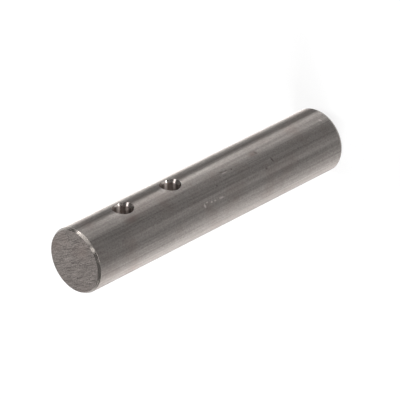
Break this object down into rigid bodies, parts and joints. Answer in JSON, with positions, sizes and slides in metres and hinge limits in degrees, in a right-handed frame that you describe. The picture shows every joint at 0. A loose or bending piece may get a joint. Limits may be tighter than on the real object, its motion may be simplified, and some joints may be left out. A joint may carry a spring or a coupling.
{
  "type": "hinge pin",
  "caption": "Plain round steel hinge pin with chamfered ends and countersunk cross holes near one end.",
  "frame": {"origin": "centre of the plain end face, on the surface that the pin stands on", "axes": "+Z along the pin's axis, from the plain end up to the drilled end; -Y along the cross holes, out of the mouths that face the camera's side"},
  "size_m": [0.0158, 0.0158, 0.081],
  "materials": {
    "steel": "centreless-ground bar, dull satin with fine grooves round the bar; belt-ground end faces; turned chamfers and bright countersinks"
  },
  "bodies": {
    "root": {"hinge_pin": "steel"}
  },
  "joints": []
}
